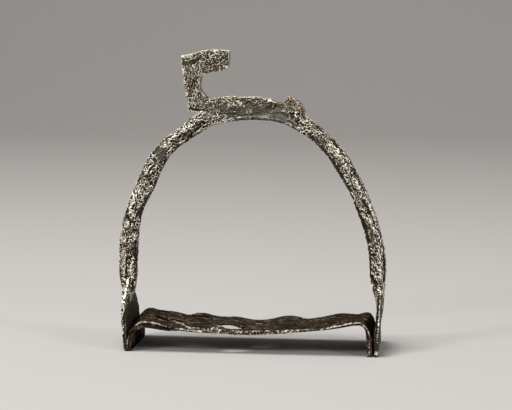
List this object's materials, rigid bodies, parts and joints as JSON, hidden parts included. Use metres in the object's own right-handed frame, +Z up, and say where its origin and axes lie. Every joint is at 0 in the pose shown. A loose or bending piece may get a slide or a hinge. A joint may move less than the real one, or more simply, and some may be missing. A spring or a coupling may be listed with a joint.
{
  "type": "stirrup",
  "caption": "Forged iron riding stirrup, excavated and rusted, with broad foot plates, a bent tread plate and a broken strap loop.",
  "frame": {"origin": "on the floor, under the middle of the stirrup's overall box", "axes": "+Z up from the feet to the strap loop, +X across the stirrup from the unbroken post of the loop to its broken post, +Y along the rider's foot, away from the side that is seen"},
  "size_m": [0.1316, 0.039, 0.1459],
  "materials": {
    "arm_iron": "deeply pitted rusted iron, dark brown with bright cream-grey flecks",
    "loop_iron": "pitted rusted iron, mottled cream and grey-green",
    "tread_iron": "dark brown rusted iron plate with lengthwise laminations and a pale eroded rim",
    "rivet_iron": "rusted iron, worn nearly flush"
  },
  "bodies": {
    "root": {"left_arm": "arm_iron", "right_arm": "arm_iron", "bridge": "arm_iron", "loop_frame": "loop_iron", "tread": "tread_iron", "left_front_rivet": "rivet_iron", "left_rear_rivet": "rivet_iron", "right_front_rivet": "rivet_iron", "right_rear_rivet": "rivet_iron"}
  },
  "joints": []
}
